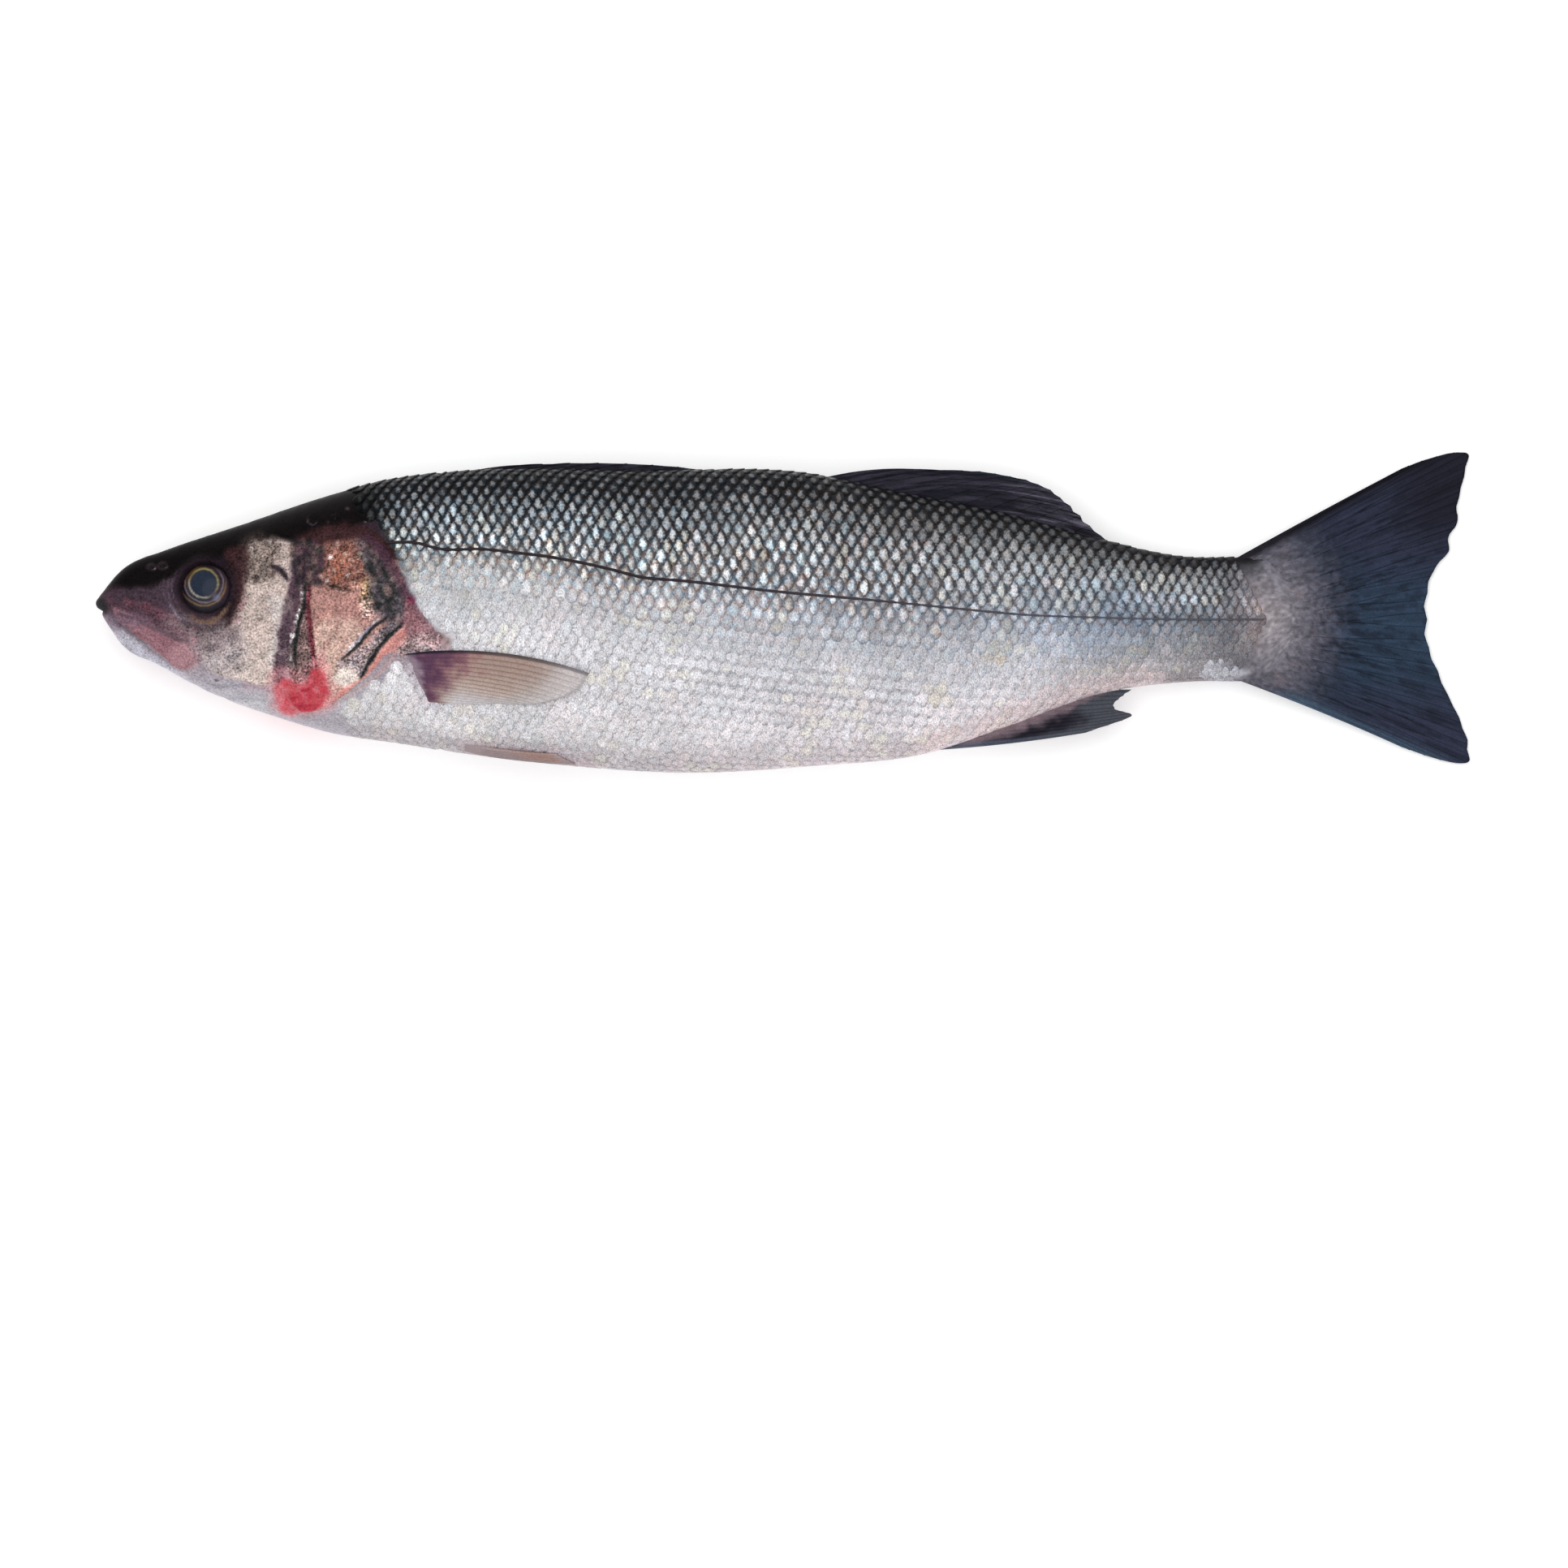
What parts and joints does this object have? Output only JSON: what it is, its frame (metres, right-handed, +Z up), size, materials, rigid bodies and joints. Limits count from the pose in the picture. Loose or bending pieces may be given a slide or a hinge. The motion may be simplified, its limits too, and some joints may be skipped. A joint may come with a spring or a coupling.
{
  "type": "whole raw sea bass",
  "caption": "Whole raw sea bass on its right side: tapering scaled body, blunt head with raised gill cover, low folded dorsal fins and a wide shallow-forked tail.",
  "frame": {"origin": "bottom centre of the fish's box, on the surface that it lies on", "axes": "+X from the head to the tail, +Y towards the fish's back, +Z up, which is the fish's left side"},
  "size_m": [0.3999, 0.0938, 0.0494],
  "materials": {
    "skin": "wet scaled fish skin, near-black on the back, silver on the flank, pinkish white on the belly",
    "fin": "damp fin skin over fine rays, slate on the back, tail and anal fins, beige on the pectoral fins",
    "eye": "clear wet eye, blue-grey pupil in a thin yellow ring and a brown iris"
  },
  "bodies": {
    "root": {"fish": "skin", "eye_left": "eye", "eye_right": "eye"}
  },
  "joints": []
}
